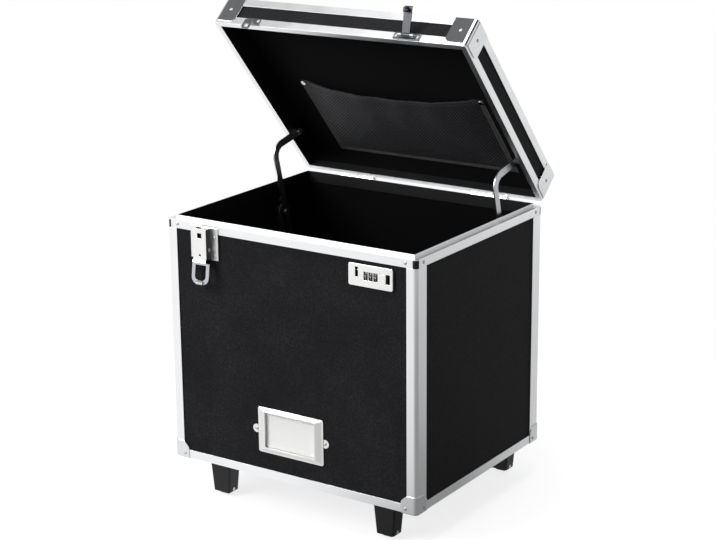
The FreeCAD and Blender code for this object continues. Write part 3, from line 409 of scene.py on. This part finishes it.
# Uncoated card: matt, with pulp that is just visible. Fibres are about 0.4 mm wide and 2 mm long.
pulp_place = add(tree, "Mapping", {"Vector": where, "Scale": (0.3, 1.0, 1.0)})
pulp = add(tree, "TexNoise", {"Vector": pulp_place.outputs[0], "Scale": 1 / (0.5 * MM), "Detail": 4.0})
tone = add(tree, "Mix", {0: pulp.outputs["Fac"], 6: linear("#f3f3f1"), 7: linear("#fcfcfa")},
           data_type="RGBA")
relief = add(tree, "Bump", {"Strength": 0.2, "Distance": 0.03 * MM, "Height": pulp.outputs["Fac"]})
feed(shader, {"Base Color": tone.outputs[2], "Roughness": 0.9, "Normal": relief.outputs[0]})

nylon, tree, shader, where = start_finish("nylon_knitted_black")
# Knitted nylon: dark, with a soft glint along each thread. The filaments are drawn at 0.35 mm.
twist = add(tree, "TexNoise", {"Vector": where, "Scale": 1 / (0.35 * MM), "Detail": 2.0})
tone = add(tree, "Mix", {0: twist.outputs["Fac"], 6: linear("#222225"), 7: linear("#3e3e42")},
           data_type="RGBA")
relief = add(tree, "Bump", {"Strength": 0.4, "Distance": 0.1 * MM, "Height": twist.outputs["Fac"]})
feed(shader, {"Base Color": tone.outputs[2], "Roughness": 0.5, "Normal": relief.outputs[0],
              "Sheen Weight": 0.2, "Sheen Roughness": 0.4})

ribbon, tree, shader, where = start_finish("polyester_woven_ribbon")
# Plain-woven ribbon: rows of small bumps that shimmer. Threads are drawn 0.9 mm apart so that they show.
THREAD = 0.9 * MM
place = add(tree, "Mapping", {"Vector": where, "Rotation": (LID_OPEN, 0, 0)})
# A wave node at scale 1 repeats every pi / 10 m.
threads = {"Vector": place.outputs[0], "Scale": math.pi / (10 * THREAD)}
warp = add(tree, "TexWave", threads, bands_direction="X")
weft = add(tree, "TexWave", threads, bands_direction="Y")
weave = add(tree, "Math", {0: warp.outputs["Fac"], 1: weft.outputs["Fac"]}, operation="MULTIPLY")
tone = add(tree, "Mix", {0: weave.outputs[0], 6: linear("#1c1c1e"), 7: linear("#3c3c40")}, data_type="RGBA")
relief = add(tree, "Bump", {"Strength": 0.6, "Distance": 0.2 * MM, "Height": weave.outputs[0]})
feed(shader, {"Base Color": tone.outputs[2], "Roughness": 0.6, "Normal": relief.outputs[0],
              "Sheen Weight": 0.25})

# Nickel on a pressed brass stud: small, clean and bright.
stud_nickel = steel("brass_nickel_plated_stud", "#c4c4c0", "#dadad6", 0.14, 0.24, 1.0 * MM, 0.05)
print(card_paper.name, nylon.name, ribbon.name)

# %% [markdown]
# ## Finishes on the frame
# Each CAD piece takes the finish of its own metal, board or plastic. Only the slot of the object is
# changed, never its mesh. What is remade further down is hidden there, and keeps this finish as a base.

# %% Finishes on the frame
FINISH = {
    "board": board, "lining": felt, "frame_aluminium": rim_metal, "cap_steel": cap_steel,
    "plated_steel": bright_plate, "steel": zinc_steel, "black_plastic": abs_black, "dial_plastic": abs_black,
    "roller_rubber": rubber, "card": card_paper, "net": nylon, "ribbon": ribbon, "press_stud": stud_nickel,
}
slot_of = {p["node"]: p["material_slot"] for p in record["subparts"]}
body_of = {n: body for body, names in record["behaviour"]["bodies"].items() for n in names}
finish_of = {n: FINISH[slot] for n, slot in slot_of.items()}
finish_of.update({
    "corner_posts": post_metal, "lid_rim": lid_metal, "lid_edge": lid_metal, "lid_caps": lid_cap_steel,
    "hasp_base": catch_steel, "latch_catch": catch_steel, "hasp_arm": hasp_steel,
    "label_holder": satin_plate, "latch_base": satin_plate, "latch_lever": zinc_steel,
})
for name, material in finish_of.items():
    for place in nodes[name].material_slots:
        place.material = material
print(len(finish_of), "pieces have a finish")

# %% [markdown]
# ## Eased edges
# Nothing made of metal or plastic has a perfectly sharp edge: a die, a press or a mould rounds it, and
# that thin round is what catches the light. A CAD mesh is loose triangles, so a copy is welded and its
# sharp edges are bevelled by a quarter of a millimetre. Loop slide is off, or the bevel would run along
# the flat triangles' own edges and leave spikes. The mitred bars of a frame touch face to face, and those
# hidden faces are taken out first, or the welded corner would have walls inside it. Where several bevels
# meet at such a corner a pinhole is left, which is filled. The felt is five sheets that touch, so each sheet
# is welded by itself. The pieces of the lid are swung shut for this and back again.

# %% Eased edges
HALF_W = 200 * MM
HALF_D = 164 * MM
BODY_LOW = 55 * MM
HINGE = Vector((0.0, 170 * MM, 400.2 * MM))
SHARP = 35
EASE = 0.25 * MM
WELD = 0.002 * MM
SLACK = 0.02
FELT_T = 1.5 * MM
SWING = Matrix.Translation(HINGE) @ Matrix.Rotation(-LID_OPEN, 4, "X") @ Matrix.Translation(-HINGE)


def piece(name, bm, material, body, stands_for=(), smooth_to=40):
    """Turns a bmesh into an object that rides on a body and takes the place of CAD nodes."""
    mesh = bpy.data.meshes.new(name)
    bm.to_mesh(mesh)
    bm.free()
    mesh.materials.append(material)
    mesh.shade_smooth()
    mesh.set_sharp_from_angle(angle=math.radians(smooth_to))
    made = bpy.data.objects.new(name, mesh)
    scene.collection.objects.link(made)
    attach(made, body)
    if stands_for:
        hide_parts(*stands_for)
    print(name, len(mesh.polygons), "faces")
    return made


def on_mitre(face):
    """True for a face of a bar's end, where two bars meet at 45 degrees."""
    slanted = abs(face.normal.z) < SLACK and abs(abs(face.normal.x) - abs(face.normal.y)) < SLACK
    off_plane = [(HALF_W - abs(v.co.x)) - (HALF_D - abs(v.co.y)) for v in face.verts]
    return slanted and all(abs(off) < SLACK * MM for off in off_plane)


def felt_sheets(bm):
    """The faces of a lining, sheet by sheet: front, back, left, right and the flat one."""
    low = Vector([min(v.co[i] for v in bm.verts) for i in range(3)])
    high = Vector([max(v.co[i] for v in bm.verts) for i in range(3)])
    groups = [[], [], [], [], []]
    for face in bm.faces:
        inside = face.calc_center_median() - face.normal * 0.1 * MM
        tests = (inside.y < low.y + FELT_T, inside.y > high.y - FELT_T, inside.x < low.x + FELT_T,
                 inside.x > high.x - FELT_T, True)
        groups[tests.index(True)].append(face)
    return groups


def eased(node, width, mitred=False, sheets=False, free=lambda edge: True):
    """A copy of a CAD piece with its free sharp edges rounded."""
    on_lid = body_of[node] == "lid"
    bm = bmesh.new()
    bm.from_mesh(nodes[node].data)
    if on_lid:
        bm.transform(SWING.inverted())
    bm.normal_update()
    for group in felt_sheets(bm) if sheets else [bm.faces[:]]:
        bmesh.ops.remove_doubles(bm, verts=list({v for face in group for v in face.verts}), dist=WELD)
    if mitred:
        bmesh.ops.delete(bm, geom=[f for f in bm.faces if on_mitre(f)], context="FACES")
    edges = [e for e in bm.edges if e.is_manifold and e.calc_face_angle() > math.radians(SHARP) and free(e)]
    bmesh.ops.bevel(bm, geom=edges, offset=width, offset_type="OFFSET", segments=2, profile=0.5,
                    affect="EDGES", clamp_overlap=False, loop_slide=False, material=-1)
    if mitred:
        bmesh.ops.holes_fill(bm, edges=[e for e in bm.edges if e.is_boundary], sides=0)
    if on_lid:
        bm.transform(SWING)
    made = piece(node + "_eased", bm, finish_of[node], body_of[node], [node])
    made.modifiers.new("even_shading", "WEIGHTED_NORMAL").keep_sharp = True
    return made


for node in ("base_rim", "lid_edge"):
    eased(node, EASE, mitred=True)

# %% [markdown]
# ## Eased metalwork and linings
# The other rims, the smaller pieces and the felt follow. Some have two finishes: black plastic on the rims'
# inner legs, painted shade of dark black nickel on the latch cover's cheeks, or a plated thumb on a black
# slide. A test picks the faces that take the second one. Edges that lie against another piece stay sharp.

# %% Eased metalwork and linings
RIM_T = 13 * MM
INWARD = 0.7
SIDEWAYS = 0.8
SLIDE_FRONT = -HALF_D - 0.9 * MM
HOLDER_BACK = -HALF_D - 0.3 * MM
FOOT_TOP = BODY_LOW - MM
LEVER_EASE = 0.2 * MM
FOOT_EASE = 0.5 * MM
SMALL_METAL = (
    "corner_posts", "base_caps", "lid_caps", "rim_plugs", "hasp_base", "hasp_arm", "hasp_pin", "latch_base",
    "latch_catch", "latch_pin", "lock_plate", "hinge_body_leaves", "hinge_lid_leaves", "hinge_pins",
    "stay_left", "stay_right", "stay_guides", "stay_pin_left", "stay_pin_right", "stay_studs", "foot_screws",
)


def second_finish(made, material, chosen):
    """Gives some faces of a piece another finish."""
    made.data.materials.append(material)
    for face in made.data.polygons:
        face.material_index = 1 if chosen(face) else 0


def on_inner_leg(face, back=Matrix()):
    """True for a face of a rim that looks into the case, once the lid's own swing is taken back."""
    out = back.to_3x3() @ face.normal
    at = back @ face.center
    return (abs(at.x) > HALF_W - RIM_T and out.x * at.x < -INWARD * abs(at.x)
            or abs(at.y) > HALF_D - RIM_T and out.y * at.y < -INWARD * abs(at.y))


# The inner legs of both rims, which look into the case, take the black plastic finish.
shut = SWING.inverted()
second_finish(eased("top_rim", EASE, mitred=True), abs_black, on_inner_leg)
second_finish(eased("lid_rim", EASE, mitred=True), abs_black, lambda face: on_inner_leg(face, shut))
for node in SMALL_METAL:
    eased(node, EASE)
eased("latch_lever", LEVER_EASE)
# Painted shade: the latch cover's cheeks take the dark black nickel, which stands for the shadow at the
# cover's sides and the dark board they mirror.
second_finish(eased("latch_cover", EASE), hasp_steel, lambda face: abs(face.normal.x) > SIDEWAYS)
# The button's plated thumb stands on a black slide behind the lock plate.
second_finish(eased("lock_button", EASE), abs_black, lambda face: face.center.y > SLIDE_FRONT)
# The label frame's back lies on the board, and the feet's tops lie under it.
eased("label_holder", EASE, free=lambda edge: max(v.co.y for v in edge.verts) < HOLDER_BACK)
eased("foot_housings", FOOT_EASE, free=lambda edge: max(v.co.z for v in edge.verts) < FOOT_TOP)
for node in ("body_lining", "lid_lining"):
    eased(node, EASE, sheets=True)

# %% [markdown]
# ## Net pocket
# The pocket is a net knitted in small diamonds. A flat grid is turned by 45 degrees and trimmed to the
# pocket's outline with four cuts, so the cut cells end at the ribbon as real netting does. Then it is
# hung: each point drops from the lining by an amount that grows from the sewn sides and end to the
# middle and stays deep at the open mouth. The wireframe operator turns every edge into a thread.

# %% Net pocket
LINING_Z = 437 * MM
POCKET_HALF = 142 * MM
MOUTH_Y = -5 * MM
END_Y = 145 * MM
SAG = 15 * MM
SAG_REACH = 0.62
SAG_ROUND = 0.8
CELL = 3.6 * MM
NET_THREAD = 1.3 * MM
FOLD = 0.6 * MM
FOLD_STEP = 9 * MM
MOUTH_DRAW = 5 * MM
DRAW_REACH = 60 * MM


def pouch_drop(x, y):
    """How far the net hangs from the lining."""
    across = 1 - (abs(x) / POCKET_HALF) ** 3
    t = (END_Y - y) / (END_Y - MOUTH_Y)
    along = math.sin(math.pi * min(t, 1.0) * SAG_REACH) ** SAG_ROUND if t > 0 else 0.0
    fold = FOLD * math.sin(x / FOLD_STEP) * max(t, 0) ** 2
    return max(0.0, across) * (SAG * along + fold)


def hang(bm, proud=0.0):
    """Lets flat points drop with the net and swings them up with the lid."""
    for v in bm.verts:
        near_mouth = max(0.0, 1 - (v.co.y - MOUTH_Y) / DRAW_REACH)
        draw = MOUTH_DRAW * (1 - (v.co.x / POCKET_HALF) ** 2) * near_mouth
        v.co.z = LINING_Z - 0.5 * MM - pouch_drop(v.co.x, v.co.y) - v.co.z - proud
        v.co.y += max(0.0, draw)
    bm.transform(SWING)


reach = (POCKET_HALF + (END_Y - MOUTH_Y) / 2) / math.sqrt(2)
cells = int(2 * reach / CELL)
bm = bmesh.new()
bmesh.ops.create_grid(bm, x_segments=cells, y_segments=cells, size=cells * CELL / 2)
bmesh.ops.rotate(bm, verts=bm.verts, cent=(0, 0, 0), matrix=Matrix.Rotation(math.pi / 4, 3, "Z"))
bmesh.ops.translate(bm, verts=bm.verts, vec=(0, (MOUTH_Y + END_Y) / 2, 0))
for at, out in (((POCKET_HALF, 0, 0), (1, 0, 0)), ((-POCKET_HALF, 0, 0), (-1, 0, 0)),
                ((0, MOUTH_Y, 0), (0, -1, 0)), ((0, END_Y, 0), (0, 1, 0))):
    bmesh.ops.bisect_plane(bm, geom=bm.verts[:] + bm.edges[:] + bm.faces[:], dist=0.01 * MM, plane_co=at,
                           plane_no=out, clear_outer=True)
hang(bm)
bmesh.ops.wireframe(bm, faces=bm.faces, thickness=NET_THREAD, use_replace=True, use_boundary=True,
                    use_even_offset=True)
net = piece("pocket_net_knitted", bm, nylon, "lid", ["pocket_net"], smooth_to=80)

# %% [markdown]
# ## Ribbon and stitches
# A woven ribbon covers the raw edge of the net on three sides, and an elastic one binds the mouth. Each
# is a flat grid, so it can ripple a little before it is given its thickness. A row of short stitches
# follows the ribbon: one small six-sided capsule, copied at a steady spacing.

# %% Ribbon and stitches
HEM_W = 9 * MM
HEM_T = 0.8 * MM
BIND_W = 8 * MM
BIND_T = 1.5 * MM
RIPPLE = 0.12 * MM
RIPPLE_STEP = 4 * MM
STITCH = 2.4 * MM
STITCH_R = 0.28 * MM
STITCH_STEP = 3.4 * MM
FIRST_STITCH = MOUTH_Y + 14 * MM


def strip(bm, x0, x1, y0, y1, step=2.5 * MM):
    """A flat grid between two corners."""
    across = max(3, int((x1 - x0) / step))
    along = max(3, int((y1 - y0) / step))
    made = bmesh.ops.create_grid(bm, x_segments=across, y_segments=along, size=0.5)["verts"]
    bmesh.ops.scale(bm, verts=made, vec=(x1 - x0, y1 - y0, 1.0))
    bmesh.ops.translate(bm, verts=made, vec=((x0 + x1) / 2, (y0 + y1) / 2, 0))


bm = bmesh.new()
for side in (-1, 1):
    inner = side * POCKET_HALF
    outer = side * (POCKET_HALF + HEM_W)
    strip(bm, min(inner, outer), max(inner, outer), MOUTH_Y, END_Y + HEM_W)
strip(bm, -POCKET_HALF, POCKET_HALF, END_Y, END_Y + HEM_W)
for v in bm.verts:
    wave = math.sin(v.co.x / RIPPLE_STEP) * math.sin(v.co.y / RIPPLE_STEP)
    v.co.z = LINING_Z - 0.05 * MM - RIPPLE * (1 + wave)
bmesh.ops.recalc_face_normals(bm, faces=bm.faces)
bmesh.ops.solidify(bm, geom=bm.faces[:], thickness=HEM_T - 0.3 * MM)
bm.transform(SWING)
hem = piece("pocket_ribbon_woven", bm, ribbon, "lid", ["pocket_hem"], smooth_to=60)

bm = bmesh.new()
strip(bm, -POCKET_HALF, POCKET_HALF, MOUTH_Y, MOUTH_Y + BIND_W, 2 * MM)
for v in bm.verts:
    v.co.z = 0.25 * MM * math.sin(v.co.x / (2.2 * MM))
bmesh.ops.solidify(bm, geom=bm.faces[:], thickness=BIND_T)
hang(bm, -BIND_T / 2)
bmesh.ops.recalc_face_normals(bm, faces=bm.faces)
binding = piece("pocket_elastic_binding", bm, ribbon, "lid", smooth_to=60)

bm = bmesh.new()
runs = []
for side in (-1, 1):
    x = side * (POCKET_HALF + HEM_W * 0.5)
    count = int((END_Y - FIRST_STITCH) / STITCH_STEP)
    runs += [((x, FIRST_STITCH + i * STITCH_STEP), "Y") for i in range(count)]
count = int(2 * POCKET_HALF / STITCH_STEP)
runs += [((-POCKET_HALF + i * STITCH_STEP, END_Y + HEM_W * 0.5), "X") for i in range(count)]
for (x, y), axis in runs:
    turn = Matrix.Rotation(math.pi / 2, 4, "Y" if axis == "X" else "X")
    place = Matrix.Translation((x, y, LINING_Z - HEM_T)) @ turn
    bmesh.ops.create_cone(bm, segments=6, radius1=STITCH_R, radius2=STITCH_R, depth=STITCH, cap_ends=True,
                          matrix=place)
bm.transform(SWING)
stitches = piece("pocket_stitches", bm, nylon, "lid")

# %% [markdown]
# ## Rivets
# The frame is held by domed rivets. A dome is a half circle spun round its axis. The CAD rivet already
# says where each one is, so the islands of its welded mesh are read one by one: the widest ring of
# points is the head's rim, and the direction from the shank to the head is its axis.

# %% Rivets
RIVET_R = 2.5 * MM
RIVET_H = 1.1 * MM
DOME_STEPS = 4


def islands(node):
    """The separate solids of a CAD piece, as lists of points."""
    bm = bmesh.new()
    bm.from_mesh(nodes[node].data)
    bmesh.ops.remove_doubles(bm, verts=bm.verts, dist=WELD)
    left = set(bm.verts)
    found = []
    while left:
        group = [left.pop()]
        for v in group:
            near = {e.other_vert(v) for e in v.link_edges} & left
            left -= near
            group.extend(near)
        found.append([v.co.copy() for v in group])
    bm.free()
    return found


def dome(bm, at, out):
    """A spun rivet head with its back at a point."""
    turn = out.to_track_quat("Z", "X").to_matrix().to_4x4()
    curve = [bm.verts.new((0, 0, 0)), bm.verts.new((RIVET_R, 0, 0))]
    for step in range(1, DOME_STEPS + 1):
        a = math.pi / 2 * step / DOME_STEPS
        radius = RIVET_R * math.cos(a) if step < DOME_STEPS else 0.0
        curve.append(bm.verts.new((radius, 0, RIVET_H * math.sin(a))))
    edges = [bm.edges.new(pair) for pair in zip(curve, curve[1:])]
    bmesh.ops.spin(bm, geom=curve + edges, cent=(0, 0, 0), axis=(0, 0, 1), angle=2 * math.pi, steps=16,
                   use_merge=True, use_duplicate=False)
    new = [v for v in bm.verts if not v.tag]
    bmesh.ops.transform(bm, matrix=Matrix.Translation(at) @ turn, verts=new)
    for v in new:
        v.tag = True


for node in ("body_rivets", "lid_rivets"):
    bm = bmesh.new()
    for points in islands(node):
        middle = sum(points, Vector()) / len(points)
        rim = None
        best = 0.0
        for p in points:
            for q in points:
                if (p - q).length > best and abs((p - q).length - 2 * RIVET_R) < 0.05 * MM:
                    best = (p - q).length
                    rim = (p + q) / 2
        out = (rim - middle).normalized()
        dome(bm, rim, out)
    bmesh.ops.remove_doubles(bm, verts=bm.verts, dist=0.005 * MM)
    bmesh.ops.recalc_face_normals(bm, faces=bm.faces)
    piece(node + "_domed", bm, zinc_steel, body_of[node], [node], smooth_to=70)

# %% [markdown]
# ## Dials
# Each dial has ten flats with a shallow groove between them for the thumb, and a plain numeral on each
# flat. A cylinder of forty sides is drawn in at every fourth edge to make the grooves. The numerals
# are text turned into mesh, laid on the flats and coloured as filled paint.

# %% Dials
DIAL_R = 7.0 * MM
DIAL_W = 5.6 * MM
FIGURE = 4.2 * MM
FLAT_TURN = 36.0
GROOVE_AT = (13.5, 22.5)
GROOVE_SCALE = 0.95
DIAL_EASE = 0.3 * MM

paint_white, tree, shader, where = start_finish("enamel_filled_white")
# Enamel wiped into the numerals: white, slightly worn to grey. Wear spots are about 0.4 mm.
wear = add(tree, "TexNoise", {"Vector": where, "Scale": 1 / (0.4 * MM), "Detail": 3.0})
tone = add(tree, "Mix", {0: wear.outputs["Fac"], 6: linear("#d9d9d6"), 7: linear("#f5f5f2")},
           data_type="RGBA")
feed(shader, {"Base Color": tone.outputs[2], "Roughness": 0.45})

for number in (1, 2, 3):
    body = "dial_%d" % number
    at = Matrix.Translation(sum(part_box("lock_" + body), Vector()) / 2)
    bm = bmesh.new()
    bmesh.ops.create_cone(bm, segments=40, radius1=DIAL_R, radius2=DIAL_R, depth=DIAL_W, cap_ends=True,
                          matrix=Matrix.Rotation(math.pi / 2, 4, "Y"))
    bmesh.ops.rotate(bm, verts=bm.verts, cent=(0, 0, 0), matrix=Matrix.Rotation(math.radians(4.5), 3, "X"))
    for v in bm.verts:
        angle = math.degrees(math.atan2(v.co.z, v.co.y)) % FLAT_TURN
        if min(abs(angle - groove) for groove in GROOVE_AT) < 2:
            v.co.y *= GROOVE_SCALE
            v.co.z *= GROOVE_SCALE
    rims = [e for e in bm.edges if e.calc_face_angle() > math.radians(60)]
    bmesh.ops.bevel(bm, geom=rims, offset=DIAL_EASE, offset_type="OFFSET", segments=2, profile=0.5,
                    affect="EDGES", clamp_overlap=True, material=-1)
    bm.transform(at)
    piece("lock_%s_notched" % body, bm, abs_black, body, ["lock_" + body], smooth_to=20)
    bm = bmesh.new()
    for digit in range(10):
        text = bpy.data.curves.new("numeral", "FONT")
        text.body = str(digit)
        text.size = FIGURE
        text.align_x = "CENTER"
        text.align_y = "CENTER"
        text.extrude = 0.04 * MM
        text.resolution_u = 3
        holder = bpy.data.objects.new("numeral", text)
        flat = bpy.data.meshes.new_from_object(holder)
        round_dial = Matrix.Rotation(math.radians(FLAT_TURN * digit), 4, "X")
        to_front = Matrix.Translation((0, -DIAL_R * 0.997, 0)) @ Matrix.Rotation(math.pi / 2, 4, "X")
        flat.transform(round_dial @ to_front)
        bm.from_mesh(flat)
        bpy.data.objects.remove(holder)
        bpy.data.curves.remove(text)
        bpy.data.meshes.remove(flat)
    bm.transform(at)
    piece("lock_%s_figures" % body, bm, paint_white, body, smooth_to=30)

# %% [markdown]
# ## Rollers
# Each foot has one small roller. Its section is drawn once, with a chamfer at each side and two grooves
# in the tread, and spun round the axle. The first and last point sit in the bore, so the spun shape closes.

# %% Rollers
# Place along the axle and radius, in millimetres.
ROLLER_SECTION = (
    (-7.0, 2.6), (-7.0, 6.4), (-6.6, 7.4), (-5.8, 8.2), (-2.9, 8.2), (-2.6, 7.6), (-1.9, 7.6), (-1.6, 8.2),
    (1.6, 8.2), (1.9, 7.6), (2.6, 7.6), (2.9, 8.2), (5.8, 8.2), (6.6, 7.4), (7.0, 6.4), (7.0, 2.6),
    (-7.0, 2.6),
)

for body in ("roller_front_left", "roller_front_right", "roller_rear_left", "roller_rear_right"):
    bm = bmesh.new()
    points = [bm.verts.new((px * MM, 0, r * MM)) for px, r in ROLLER_SECTION]
    lines = [bm.edges.new(pair) for pair in zip(points, points[1:])]
    bmesh.ops.spin(bm, geom=points + lines, cent=(0, 0, 0), axis=(1, 0, 0), angle=2 * math.pi, steps=48,
                   use_merge=True, use_duplicate=False)
    bmesh.ops.remove_doubles(bm, verts=bm.verts, dist=0.01 * MM)
    bmesh.ops.recalc_face_normals(bm, faces=bm.faces)
    bm.transform(Matrix.Translation(sum(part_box(body), Vector()) / 2))
    piece(body + "_grooved", bm, rubber, body, [body], smooth_to=30)
